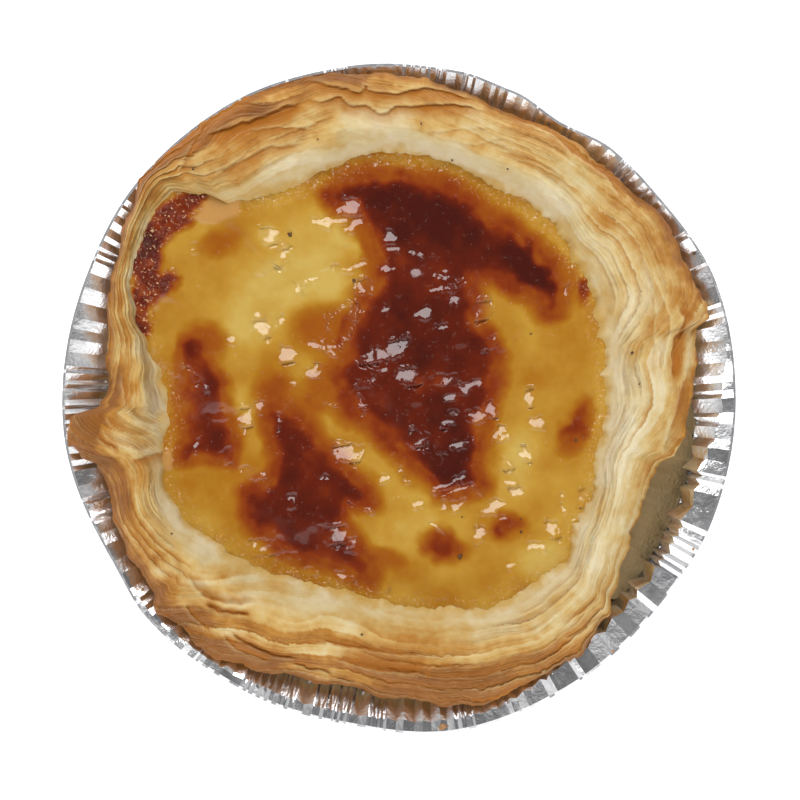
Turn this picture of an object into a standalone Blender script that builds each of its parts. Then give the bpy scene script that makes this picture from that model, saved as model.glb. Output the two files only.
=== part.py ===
"""A pastel de nata in its crimped foil case.

Three pieces, each one closed solid: the foil case, the flaky pastry shell and the baked custard.
The origin is the centre of the flat base, +Z is up, and -Y is the side nearest to whoever looks
down at the tart. Sizes are in millimetres until a piece is lofted, which turns them into metres.
Angles are in degrees, anticlockwise from +X, seen from above.
"""
import math
import random

import bmesh
import bpy
from mathutils import Vector

MM = 0.001

# Foil case: a flat base, a steep fluted wall and a flange that slopes out to the cut rim
FOIL_THICKNESS = 0.2
FOIL_BASE_RADIUS = 24.2
FOIL_CORNER = (25.2, 0.5)
FOIL_WALL_TOP = (34.6, 19.6)
FOIL_RIM_HEIGHT = 21.0
FOIL_PLEATS = 64
PLEAT_DEPTH_CORNER = 0.22
PLEAT_DEPTH_WALL_TOP = 0.60
PLEAT_LIFT_FLANGE = 0.32
PLEAT_LIFT_RIM = 0.28
PLEAT_SHALLOWEST = 0.55
PLEAT_DEEPEST = 1.25
PLEAT_UNEVEN_PITCH = 0.28
PLEAT_SEED = 7
FOIL_RIM_RADIUS = [
    (0, 39.9), (20, 40.1), (40, 39.1), (50, 39.1), (60, 38.2), (70, 39.2), (80, 39.8), (100, 40.3),
    (120, 40.8), (140, 40.8), (160, 40.3), (185, 40.4), (210, 39.4), (220, 39.9), (240, 39.4),
    (260, 39.2), (280, 40.1), (300, 39.7), (320, 39.3), (340, 39.8),
]

# Pastry shell: heights, and its two edges seen from above
GAP = 0.35
PASTRY_UNDERSIDE = FOIL_THICKNESS + GAP
CAVITY_FLOOR = 3.0
CAVITY_FLOOR_RADIUS = 20.3
CAVITY_SHOULDER_HEIGHT = 20.5
CAVITY_SHOULDER_MOST = 29.0
PASTRY_EDGE_RADIUS = [
    (0, 34.7), (8, 35.5), (13.5, 36.2), (15, 38.0), (25, 37.6), (35, 37.9), (42, 36.9), (60, 36.9),
    (70, 36.5), (80, 37.5), (86, 38.5), (95, 39.0), (102, 39.8), (112, 40.3), (125, 40.6),
    (139, 40.6), (146, 39.1), (153, 37.8), (162, 36.6), (170, 35.3), (178, 34.9), (181, 35.9),
    (183, 39.6), (187, 39.9), (190, 38.5), (192, 36.9), (197, 36.3), (205, 37.2), (218, 37.3),
    (220, 38.6), (226, 37.6), (232, 38.1), (240, 36.8), (250, 35.2), (260, 34.9), (270, 35.6),
    (280, 36.9), (285, 37.5), (295, 36.9), (306, 36.9), (314, 35.7), (318, 34.0), (326, 32.4),
    (334, 31.4), (341, 31.2), (346, 31.7), (349, 33.2), (355, 34.1),
]
CUSTARD_EDGE_RADIUS = [
    (0, 23.9), (10, 24.2), (20, 24.9), (30, 25.8), (40, 26.5), (50, 27.5), (60, 27.8), (70, 27.6),
    (80, 28.4), (90, 29.3), (100, 29.3), (108, 28.3), (120, 28.4), (126, 29.2), (131, 30.5),
    (134, 33.6), (138, 36.4), (144, 36.8), (150, 36.0), (156, 35.0), (162, 33.0), (168, 30.5),
    (174, 28.8), (180, 27.8), (186, 27.6), (192, 28.6), (200, 29.6), (208, 29.2), (218, 27.8),
    (228, 26.2), (240, 24.5), (255, 23.4), (268, 23.9), (280, 24.9), (295, 26.7), (305, 26.7),
    (315, 27.1), (325, 25.3), (335, 25.0), (345, 24.0),
]
# Height of the line where custard and pastry meet. It climbs where the custard has boiled over.
LIP_HEIGHT = [
    (0, 22.6), (60, 22.8), (122, 22.8), (131, 23.4), (138, 25.0), (154, 25.0), (166, 23.6),
    (176, 22.8), (240, 22.4), (300, 22.6),
]
CREST_HEIGHT = [
    (0, 27.3), (40, 27.6), (90, 28.0), (118, 27.8), (138, 27.0), (156, 26.6), (176, 27.2),
    (190, 27.6), (225, 28.0), (270, 28.2), (300, 28.0), (330, 26.8),
]
CREST_SHARE = 0.42
EDGE_HEIGHT_LEAST = 22.4
EDGE_CLEARANCE = 1.9
# How far the rim overhangs the wall that carries it, and its height over the foil there
PASTRY_EDGE_TURN = 1.6
OVERHANG_CLEARANCE = 1.1

# Flaky layers of the rim: each stands over the next one in, with its free edge towards the custard
RIM_LAYERS = 6
LAYER_STEP = 0.85
LAYER_FACE_SHARES = (0.12, 0.55, 0.92)
LAYER_WANDER = 0.34
LAYER_TURNS = (1, 2, 3, 5, 8, 13, 21)
LAYER_SEED = 21

# Custard: a domed top with blisters and dents
CUSTARD_DOME = 0.8
CUSTARD_LIP = 0.3
CUSTARD_RINGS = 8
# Each blister is (x, y, radius, height); a dent has a height below zero
BLISTERS = [
    (4.5, 11.0, 8.5, 1.1), (-1.0, 2.5, 8.0, 0.9), (-22.5, 1.5, 5.0, 1.2), (-12.5, -9.5, 9.0, 0.7),
    (13.5, 4.5, 5.5, -0.6), (-12.5, 12.5, 9.0, -0.7), (13.0, -10.0, 8.0, -0.5),
    (-21.5, -9.0, 4.5, -0.5), (20.5, -2.0, 4.5, 0.4), (3.5, -17.5, 6.0, 0.4),
]

SECTIONS = 120


def around(points, degrees):
    """The value at an angle, read from (angle, value) pairs that go once round the tart."""
    degrees %= 360
    for (low, a), (high, b) in zip(points, points[1:] + [(points[0][0] + 360, points[0][1])]):
        if low <= degrees <= high:
            share = (degrees - low) / (high - low)
            return a + (b - a) * share * share * (3 - 2 * share)
    return points[0][1]


def polar(radius, height, degrees):
    turn = math.radians(degrees)
    return Vector((radius * math.cos(turn), radius * math.sin(turn), height))


def foil_wall_radius(height):
    """Radius of the middle of the foil's wall at a height, without its pleats."""
    (low_radius, low), (high_radius, high) = FOIL_CORNER, FOIL_WALL_TOP
    return low_radius + (high_radius - low_radius) * (height - low) / (high - low)


def foil_flange_height(radius, degrees):
    """Height of the middle of the foil's flange, without its pleats."""
    inner, low = FOIL_WALL_TOP
    rim = around(FOIL_RIM_RADIUS, degrees)
    return low + (FOIL_RIM_HEIGHT - low) * (radius - inner) / (rim - inner)


def pastry_wall_radius(height, degrees):
    """Outside of the pastry's wall, clear of the foil's pleats, and set back where it shrank."""
    share = height / FOIL_WALL_TOP[1]
    pleat = PLEAT_DEPTH_CORNER + (PLEAT_DEPTH_WALL_TOP - PLEAT_DEPTH_CORNER) * share
    pressed = foil_wall_radius(height) - pleat * PLEAT_DEEPEST - FOIL_THICKNESS / 2 - GAP
    edge = around(PASTRY_EDGE_RADIUS, degrees)
    shrunk = max(0.0, FOIL_WALL_TOP[0] - PASTRY_EDGE_TURN - edge)
    return pressed - shrunk * share


def rim_height(share, degrees):
    """Height of the rim's smooth form, from the custard (share 0) to the outer edge (share 1)."""
    lip = around(LIP_HEIGHT, degrees)
    crest = around(CREST_HEIGHT, degrees)
    edge = edge_height(degrees)
    if share < CREST_SHARE:
        return lip + (crest - lip) * math.sin(math.pi / 2 * share / CREST_SHARE)
    fall = (share - CREST_SHARE) / (1 - CREST_SHARE)
    return edge + (crest - edge) * math.cos(math.pi / 2 * fall ** 1.3)


def edge_height(degrees):
    """Height of the rim's outer edge, which stays clear of the foil below it."""
    edge = around(PASTRY_EDGE_RADIUS, degrees)
    return max(EDGE_HEIGHT_LEAST, foil_flange_height(edge, degrees) + EDGE_CLEARANCE)


def layer_waves():
    """For each line between two layers, the waves that make it wander round the rim."""
    draw = random.Random(LAYER_SEED)
    return [
        [(turns, draw.uniform(0.3, 1.0) / math.sqrt(turns), draw.uniform(0, 360)) for turns in LAYER_TURNS]
        for _ in range(RIM_LAYERS + 1)
    ]


def layer_line(index, waves, degrees):
    """Share of the rim's width at which one layer ends and the next begins."""
    if index in (0, RIM_LAYERS):
        return index / RIM_LAYERS
    wave = sum(size * math.sin(math.radians(turns * degrees + start)) for turns, size, start in waves[index])
    return (index + LAYER_WANDER * wave / 2) / RIM_LAYERS


def rim_points(degrees, waves):
    """Points over the flaky rim, from the custard to the outer edge."""
    inner = around(CUSTARD_EDGE_RADIUS, degrees)
    outer = around(PASTRY_EDGE_RADIUS, degrees)
    width = outer - inner
    step = LAYER_STEP * min(1.0, width / 6.0)
    points = []
    for index in range(RIM_LAYERS):
        low = layer_line(index, waves, degrees)
        high = layer_line(index + 1, waves, degrees)
        for face in LAYER_FACE_SHARES:
            share = low + (high - low) * face
            rise = step * (0.5 - face)
            points.append((inner + width * share, rim_height(share, degrees) + rise))
    return points


def pastry_section(degrees, waves):
    """Half of the shell's outline at one angle, from the cavity's middle to the underside's."""
    inner = around(CUSTARD_EDGE_RADIUS, degrees)
    outer = around(PASTRY_EDGE_RADIUS, degrees)
    shoulder = min(inner - 0.6, CAVITY_SHOULDER_MOST)
    edge = edge_height(degrees)
    tuck = min(outer - 0.7, pastry_wall_radius(FOIL_WALL_TOP[1], degrees) + 1.2)
    return [
        (CAVITY_FLOOR_RADIUS, CAVITY_FLOOR),
        (CAVITY_FLOOR_RADIUS + 0.8, CAVITY_FLOOR + 1.2),
        (shoulder, CAVITY_SHOULDER_HEIGHT),
        (inner, around(LIP_HEIGHT, degrees)),
        *rim_points(degrees, waves),
        (outer, edge),
        (outer - 0.4, edge - 0.7),
        (tuck, max(foil_flange_height(tuck, degrees) + OVERHANG_CLEARANCE, 20.0)),
        (pastry_wall_radius(FOIL_WALL_TOP[1], degrees), FOIL_WALL_TOP[1]),
        (pastry_wall_radius(9.0, degrees), 9.0),
        (pastry_wall_radius(1.6, degrees), 1.6),
        (pastry_wall_radius(1.6, degrees) - 1.0, PASTRY_UNDERSIDE),
    ]


def custard_top(x, y, degrees, share):
    """Height of the custard at a place that is a share of the way to its edge."""
    lip = around(LIP_HEIGHT, degrees)
    middle = around(LIP_HEIGHT, 0)
    height = middle + (lip - middle) * share ** 3 + CUSTARD_DOME * (1 - share ** 2) + CUSTARD_LIP
    for at_x, at_y, radius, rise in BLISTERS:
        nearness = ((x - at_x) ** 2 + (y - at_y) ** 2) / radius ** 2
        height += rise * math.exp(-2 * nearness) * (1 - share ** 6)
    return height


def custard_section(degrees):
    """Half of the custard's outline at one angle, from the top's middle to the bottom's."""
    edge = around(CUSTARD_EDGE_RADIUS, degrees) - GAP
    lip = around(LIP_HEIGHT, degrees)
    shoulder = min(edge - 0.6, CAVITY_SHOULDER_MOST - GAP)
    points = []
    for ring in range(1, CUSTARD_RINGS + 1):
        share = ring / CUSTARD_RINGS
        place = polar(edge * share, 0, degrees)
        points.append((edge * share, custard_top(place.x, place.y, degrees, share)))
    return points + [
        (edge - 0.1, lip + 0.05),
        (shoulder - 0.2, CAVITY_SHOULDER_HEIGHT + 0.4),
        (CAVITY_FLOOR_RADIUS + 0.35, CAVITY_FLOOR + 1.5),
        (CAVITY_FLOOR_RADIUS - 0.5, CAVITY_FLOOR + GAP),
    ]


def foil_rings():
    """Rings of the foil's middle surface, with a ridge and a valley for each pleat."""
    draw = random.Random(PLEAT_SEED)
    count = 2 * FOIL_PLEATS
    pitch = 360 / count
    rings = [[], [], [], [], [], []]
    for index in range(count):
        degrees = (index + draw.uniform(-PLEAT_UNEVEN_PITCH, PLEAT_UNEVEN_PITCH)) * pitch
        pleat = (1 if index % 2 else -1) * draw.uniform(PLEAT_SHALLOWEST, PLEAT_DEEPEST)
        rim = around(FOIL_RIM_RADIUS, degrees)
        middle_height = (FOIL_CORNER[1] + FOIL_WALL_TOP[1]) / 2
        middle_depth = (PLEAT_DEPTH_CORNER + PLEAT_DEPTH_WALL_TOP) / 2
        top_radius, top_height = FOIL_WALL_TOP
        flange_height = (top_height + FOIL_RIM_HEIGHT) / 2 - pleat * PLEAT_LIFT_FLANGE
        even = index * pitch
        places = [
            polar(FOIL_BASE_RADIUS, FOIL_THICKNESS / 2, even),
            polar(FOIL_CORNER[0] + pleat * PLEAT_DEPTH_CORNER, FOIL_CORNER[1], even),
            polar(foil_wall_radius(middle_height) + pleat * middle_depth, middle_height, degrees),
            polar(top_radius + pleat * PLEAT_DEPTH_WALL_TOP, top_height, degrees),
            polar((top_radius + rim) / 2, flange_height, degrees),
            polar(rim, FOIL_RIM_HEIGHT - pleat * PLEAT_LIFT_RIM, degrees),
        ]
        for ring, place in zip(rings, places):
            ring.append(place)
    return rings


def loft(name, rings, first_pole, last_pole, collection, material):
    """Joins rings of equal counts into a surface. A pole is a height on the axis that closes an end."""
    grid = bmesh.new()
    made = [[grid.verts.new(place * MM) for place in ring] for ring in rings]
    for lower, upper in zip(made, made[1:]):
        for a, b in zip(range(len(lower)), [*range(1, len(lower)), 0]):
            grid.faces.new((lower[a], lower[b], upper[b], upper[a]))
    for height, ring in ((first_pole, made[0]), (last_pole, made[-1])):
        if height is not None:
            pole = grid.verts.new((0, 0, height * MM))
            for a, b in zip(ring, ring[1:] + ring[:1]):
                grid.faces.new((pole, a, b))
    bmesh.ops.recalc_face_normals(grid, faces=grid.faces)
    mesh = bpy.data.meshes.new(name)
    grid.to_mesh(mesh)
    grid.free()
    mesh.materials.append(material)
    piece = bpy.data.objects.new(name, mesh)
    collection.objects.link(piece)
    return piece


def rings_of(section):
    """Turns a function from an angle to an outline's points into rings round the tart."""
    step = 360 / SECTIONS
    outlines = [section(index * step) for index in range(SECTIONS)]
    return [
        [polar(*outline[at], index * step) for index, outline in enumerate(outlines)]
        for at in range(len(outlines[0]))
    ]


def finish(name, colour, roughness, metallic=0.0):
    material = bpy.data.materials.new(name)
    material.use_nodes = True
    shader = material.node_tree.nodes["Principled BSDF"]
    shader.inputs["Base Color"].default_value = (*colour, 1)
    shader.inputs["Roughness"].default_value = roughness
    shader.inputs["Metallic"].default_value = metallic
    return material


def make_foil_case(collection):
    foil = finish("foil", (0.72, 0.72, 0.73), 0.25, metallic=1.0)
    case = loft("foil_case", foil_rings(), FOIL_THICKNESS / 2, None, collection, foil)
    sheet = case.modifiers.new("sheet", "SOLIDIFY")
    sheet.thickness = FOIL_THICKNESS * MM
    sheet.offset = 0
    return case


def make_pastry_shell(collection):
    waves = layer_waves()
    baked = finish("pastry", (0.62, 0.38, 0.14), 0.6)
    rings = rings_of(lambda degrees: pastry_section(degrees, waves))
    return loft("pastry_shell", rings, CAVITY_FLOOR, PASTRY_UNDERSIDE, collection, baked)


def make_custard(collection):
    set_custard = finish("custard", (0.56, 0.25, 0.03), 0.2)
    middle = custard_top(0, 0, 0, 0)
    rings = rings_of(custard_section)
    return loft("custard", rings, middle, CAVITY_FLOOR + GAP, collection, set_custard)


def main():
    for old in list(bpy.data.objects):
        bpy.data.objects.remove(old)
    tart = bpy.data.collections.new("pastel_de_nata")
    bpy.context.scene.collection.children.link(tart)
    make_foil_case(tart)
    make_pastry_shell(tart)
    make_custard(tart)


main()
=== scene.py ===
"""Looks of a pastel de nata in its foil case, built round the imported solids.

Sizes are in millimetres until a mesh is made, which turns them into metres. Angles are in degrees,
anticlockwise from +X seen from above. A place on the tart that was read off the photo is given by its
column and row there; at() turns it into millimetres.
"""
import math

import bpy
import numpy as np
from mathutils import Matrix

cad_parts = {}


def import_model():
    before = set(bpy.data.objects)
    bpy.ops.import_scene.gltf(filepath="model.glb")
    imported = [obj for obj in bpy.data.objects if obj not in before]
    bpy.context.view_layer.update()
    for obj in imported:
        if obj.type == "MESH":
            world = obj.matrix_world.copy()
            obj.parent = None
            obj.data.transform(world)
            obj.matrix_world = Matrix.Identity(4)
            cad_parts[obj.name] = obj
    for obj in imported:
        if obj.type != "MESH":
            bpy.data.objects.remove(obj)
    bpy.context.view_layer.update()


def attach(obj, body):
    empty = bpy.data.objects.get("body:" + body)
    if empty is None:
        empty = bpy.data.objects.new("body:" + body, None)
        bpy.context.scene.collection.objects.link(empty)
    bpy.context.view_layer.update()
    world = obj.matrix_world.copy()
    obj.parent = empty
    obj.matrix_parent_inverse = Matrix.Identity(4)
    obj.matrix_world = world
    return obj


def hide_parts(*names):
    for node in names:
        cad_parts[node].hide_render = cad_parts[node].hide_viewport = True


MM = 0.001

# How the photo shows the tart: its axis, and the size of a pixel at the scale's height
PHOTO_AXIS = (401, 400)
PHOTO_WIDTH = 800
PIXEL = 0.119
SCALE_HEIGHT = 23
CAMERA_DISTANCE = 900
SENSOR_WIDTH = 36

# The same driving dimensions as the solids. A pair in brackets is a radius and a height, and a list goes
# once round the tart as angles and values.
FOIL_BASE_RADIUS = 24.2
FOIL_CORNER = (25.2, 0.5)
FOIL_WALL_TOP = (34.6, 19.6)
FOIL_RIM_HEIGHT = 21.0
FOIL_THICKNESS = 0.12
FOIL_RIM_RADIUS = [
    (0, 39.9), (20, 40.1), (40, 39.1), (50, 39.1), (60, 38.2), (70, 39.2), (80, 39.8), (100, 40.3),
    (120, 40.8), (140, 40.8), (160, 40.3), (185, 40.4), (210, 39.4), (220, 39.9), (240, 39.4),
    (260, 39.2), (280, 40.1), (300, 39.7), (320, 39.3), (340, 39.8),
]
# Share of the flange's width at which it has risen to the rim's height and runs level
FOIL_LEVEL_FROM = [
    (0, 0.75), (12, 1.0), (210, 1.0), (225, 0.85), (250, 0.78), (285, 0.75), (308, 0.42), (345, 0.42),
]
# The edge of the case is rolled over: its width and drop
FOIL_BEAD = (0.28, 0.20)
# Where its pleats are packed closer: the angles where that starts, is full, fades and ends
PLEATS_PACKED = [(225, 240, 290, 305), (38, 48, 95, 110)]
PLEATS_CLOSER = 0.4
LAST_FOLD = 358.5
GAP = 0.35
PASTRY_UNDERSIDE = 0.55
PASTRY_FOOT_HEIGHT = 1.6
CAVITY_FLOOR = 3.0
CAVITY_FLOOR_RADIUS = 20.3
CAVITY_SHOULDER_HEIGHT = 20.5
CAVITY_SHOULDER_MOST = 29.0
PASTRY_EDGE_RADIUS = [
    (0, 34.7), (8, 35.5), (13.5, 36.2), (15, 38.0), (25, 37.6), (35, 37.9), (42, 36.9), (60, 36.9),
    (70, 36.5), (80, 37.5), (86, 38.5), (95, 39.0), (102, 39.8), (112, 40.3), (125, 40.6),
    (139, 40.6), (146, 39.1), (153, 37.8), (162, 36.6), (170, 35.3), (178, 34.9), (181, 35.9),
    (183, 39.6), (187, 39.9), (190, 38.5), (192, 36.9), (197, 36.3), (205, 37.2), (218, 37.3),
    (220, 38.6), (226, 37.6), (232, 38.1), (240, 36.8), (250, 35.2), (260, 34.9), (270, 35.6),
    (280, 36.9), (285, 37.5), (295, 36.9), (306, 36.9), (314, 35.7), (318, 34.0), (326, 32.4),
    (334, 31.4), (341, 31.2), (346, 31.7), (349, 33.2), (355, 34.1),
]
CUSTARD_EDGE_RADIUS = [
    (0, 23.9), (10, 24.2), (20, 24.9), (30, 25.8), (40, 26.5), (50, 27.5), (60, 27.8), (70, 27.6),
    (80, 28.4), (90, 29.3), (100, 29.3), (108, 28.3), (120, 28.4), (126, 29.2), (131, 30.5),
    (134, 33.6), (138, 36.4), (144, 36.8), (150, 36.0), (156, 35.0), (162, 33.0), (168, 30.5),
    (174, 28.8), (180, 27.8), (186, 27.6), (192, 28.6), (200, 29.6), (208, 29.2), (218, 27.8),
    (228, 26.2), (240, 24.5), (255, 23.4), (268, 23.9), (280, 24.9), (295, 26.7), (305, 26.7),
    (315, 27.1), (325, 25.3), (335, 25.0), (345, 24.0),
]
LIP_HEIGHT = [
    (0, 22.6), (60, 22.8), (122, 22.8), (131, 23.4), (138, 25.0), (154, 25.0), (166, 23.6),
    (176, 22.8), (240, 22.4), (300, 22.6),
]
CREST_HEIGHT = [
    (0, 27.3), (40, 27.6), (90, 28.0), (118, 27.8), (138, 27.0), (156, 26.6), (176, 27.2),
    (190, 27.6), (225, 28.0), (270, 28.2), (300, 28.0), (330, 26.8),
]
CREST_SHARE = 0.42
EDGE_HEIGHT_LEAST = 22.4
EDGE_CLEARANCE = 1.9
CUSTARD_DOME = 0.8
CUSTARD_LIP = 0.3
# Humps and hollows of the custard: x, y, radius and rise
BLISTERS = [
    (4.5, 11.0, 8.5, 1.1), (-1.0, 2.5, 8.0, 0.9), (-22.5, 1.5, 5.0, 1.2), (-12.5, -9.5, 9.0, 0.7),
    (13.5, 4.5, 5.5, -0.6), (-12.5, 12.5, 9.0, -0.7), (13.0, -10.0, 8.0, -0.5),
    (-21.5, -9.0, 4.5, -0.5), (20.5, -2.0, 4.5, 0.4), (3.5, -17.5, 6.0, 0.4),
]

# How finely each piece is cut into facets
PASTRY_COLUMNS = 900
RIM_RINGS = 100
CUSTARD_COLUMNS = 720
CUSTARD_RINGS = 124
FACET_PARTS = 3

# Rim of the pastry: the layers' count across it, and how their lines move round it like a spiral
LAYERS = 8
LAYERS_PER_TURN = 6
LAYER_SPIRAL = [
    (0, 0), (5, 0), (25, -4), (95, -4), (110, -5.5), (178, -5.5), (196, -0.5), (214, 1), (235, 7),
    (290, 7), (302, 6), (359.9, 6),
]
# Thin leaves between two of the larger ones, which only show as lines: painted shade under each edge, a
# painted highlight along it, and a bump
LEAVES_PER_LAYER = 4.5
# How deep the steps between the layers are, in mm
LAYER_DEPTH = [
    (0, 0.50), (45, 0.46), (70, 0.34), (95, 0.35), (120, 0.50), (150, 0.55), (178, 0.50), (190, 0.50),
    (212, 0.42), (225, 0.40), (265, 0.48), (290, 0.60), (325, 0.52), (350, 0.50),
]
# How far out the smooth inner sheet reaches, as a share of the rim's width
SMOOTH_SHEET = [
    (0, 0.10), (40, 0.12), (62, 0.35), (80, 0.48), (100, 0.46), (118, 0.22), (140, 0.05), (180, 0.0),
    (200, 0.12), (220, 0.42), (240, 0.48), (262, 0.40), (280, 0.30), (296, 0.16), (320, 0.12),
]
# How deeply the inner edge is torn, in mm
TORN_EDGE = [
    (0, 0.6), (30, 0.6), (48, 1.0), (62, 0.4), (90, 0.3), (150, 0.3), (200, 0.3), (240, 0.2), (290, 0.4),
    (330, 0.6),
]
# How brown the rim is baked, from 0 to 1, at the custard and at its outer edge
BAKE_INSIDE = [
    (0, 0.11), (30, 0.11), (60, 0.04), (90, 0.10), (115, 0.08), (135, 0.16), (165, 0.06),
    (185, 0.02), (205, 0.09), (240, 0.11), (268, 0.16), (280, 0.16), (298, 0.04), (330, 0.05),
]
BAKE_OUTSIDE = [
    (0, 0.50), (20, 0.46), (45, 0.56), (70, 0.86), (90, 0.86), (120, 0.94), (145, 0.90),
    (170, 0.80), (186, 0.98), (198, 0.94), (225, 0.94), (250, 0.78), (280, 1.05), (300, 0.68),
    (320, 0.42), (335, 0.32), (350, 0.36),
]

BAKE_RANGE = (-0.2, 0.92)
# Where the outer half of the rim is lumpy: the angles where that starts, is full, fades and ends
LUMPY = (192, 202, 226, 240)

# Edges of single leaves in the rim, read off the photo: the side that lies lower, its drop and the
# width over which it rises again, both in mm, how brown it is there, as browning with painted shade,
# and the line, anticlockwise
LEDGES = [
    ("in", 0.9, 1.1, 0.75, [
        (486, 103), (462, 97), (445, 92), (421, 89), (400, 94), (382, 94), (370, 92), (366, 87),
        (359, 94), (345, 89), (331, 86), (316, 81), (299, 82),
    ]),
    ("in", 0.9, 0.9, 0.80, [
        (496, 113), (482, 112), (470, 107), (445, 105), (418, 107), (400, 107), (382, 114), (366, 107),
        (350, 106), (340, 98), (320, 103), (300, 97),
    ]),
    ("in", 1.2, 1.3, 0.95, [
        (305, 103), (291, 106), (274, 112), (256, 119), (231, 127), (216, 133), (203, 140),
    ]),
    ("in", 0.5, 0.9, 0.60, [(313, 131), (295, 129), (277, 129), (265, 130), (249, 131)]),
    ("in", 0.6, 0.8, 0.50, [(308, 143), (281, 148), (268, 149), (252, 157), (231, 167), (213, 181)]),
    ("in", 0.6, 0.8, 0.60, [(199, 137), (191, 149), (186, 160), (179, 174)]),
    ("in", 0.5, 0.8, 0.60, [(262, 88), (234, 103), (213, 116), (195, 128), (172, 146), (155, 165)]),
    ("out", 0.5, 0.8, 0.55, [
        (625, 208), (616, 192), (605, 176), (589, 165), (571, 153), (557, 139), (534, 126), (505, 119),
    ]),
    ("in", 0.4, 0.5, 0.30, [(571, 185), (552, 171), (532, 160), (514, 155), (496, 151)]),
    ("in", 0.35, 0.45, 0.30, [(585, 196), (570, 187), (552, 175), (528, 164), (507, 160)]),
    ("in", 0.3, 0.5, 0.20, [(561, 165), (536, 155), (514, 144), (500, 140), (475, 146), (452, 142)]),
    ("in", 0.3, 0.8, 0.15, [(496, 128), (459, 131), (421, 135)]),
    ("out", 0.8, 0.9, 0.95, [
        (671, 384), (671, 370), (672, 343), (678, 331), (683, 319), (679, 312), (678, 303),
    ]),
    ("out", 0.5, 2.0, 0.30, [(661, 459), (666, 440), (672, 420), (680, 392), (688, 366), (692, 352)]),
    ("in", 0.4, 0.8, 0.30, [(653, 384), (656, 361), (652, 332), (654, 311), (650, 290), (640, 275)]),
    ("in", 0.4, 0.8, 0.30, [(660, 384), (664, 352), (669, 325), (664, 305), (657, 285), (645, 268)]),
    ("in", 0.4, 0.5, 0.50, [(560, 628), (572, 618), (584, 609), (593, 601), (599, 590)]),
    ("in", 0.4, 0.5, 0.50, [(560, 640), (577, 632), (592, 622), (606, 614)]),
    ("in", 0.9, 0.8, 0.60, [(187, 571), (194, 583), (206, 595), (223, 602), (239, 603), (260, 600)]),
    ("in", 0.9, 0.35, 1.0, [(205, 602), (217, 610), (230, 612), (253, 614)]),
    ("in", 0.6, 0.6, 0.60, [(315, 636), (335, 644), (366, 648), (400, 653), (430, 652)]),
    ("in", 0.9, 0.4, 0.90, [(230, 626), (235, 636), (254, 646), (274, 654), (302, 658)]),
    ("in", 0.5, 0.5, 0.60, [(222, 628), (228, 640), (241, 650), (256, 656), (275, 662)]),
    ("in", 0.7, 0.5, 0.80, [(290, 662), (308, 668), (322, 670), (333, 674)]),
    ("in", 0.6, 1.0, 0.70, [(330, 655), (350, 662), (372, 668), (400, 671), (430, 672)]),
    ("in", 0.5, 0.5, 0.50, [(184, 600), (192, 614), (203, 625), (212, 632)]),
    ("in", 0.30, 0.9, 0.40, [
        (123, 371), (124, 387), (128, 405), (134, 413), (141, 420), (151, 423), (167, 423),
    ]),
    ("in", 0.30, 0.8, 0.45, [(107, 414), (111, 421), (119, 429), (129, 434), (139, 435), (155, 435)]),
    ("in", 0.30, 0.8, 0.50, [(102, 426), (107, 434), (117, 443), (131, 447), (144, 449), (157, 447)]),
    ("in", 0.7, 0.4, 0.90, [(97, 434), (104, 442), (117, 449), (121, 450)]),
    ("out", 0.5, 0.8, 0.80, [(132, 459), (141, 457), (155, 454), (165, 451)]),
]

# Places where the leaves run only as LEDGES gives them
PASTRY_TRACED = [(128, 408, 66, 56, 75), (400, 100, 110, 26, 0), (255, 128, 75, 24, 28)]
# Where the rim is baked browner or left paler than round about: an ellipse, and how much
PASTRY_BROWNED = [
    ((84, 428, 34, 26, 60), 0.45), ((200, 130, 70, 22, 38), 0.08), ((320, 76, 60, 9, 4), 0.35),
    ((155, 165, 50, 12, 52), 0.20), ((250, 660, 70, 22, -25), 0.15), ((390, 680, 90, 22, 0), 0.06),
    ((560, 650, 60, 20, 38), 0.10), ((676, 352, 40, 12, 82), 0.35), ((655, 240, 60, 16, -55), 0.15),
    ((130, 330, 30, 10, 85), 0.15), ((400, 120, 80, 14, 0), -0.05), ((620, 440, 40, 90, 0), -0.08),
    ((680, 412, 44, 11, 78), 0.22),
]

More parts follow.
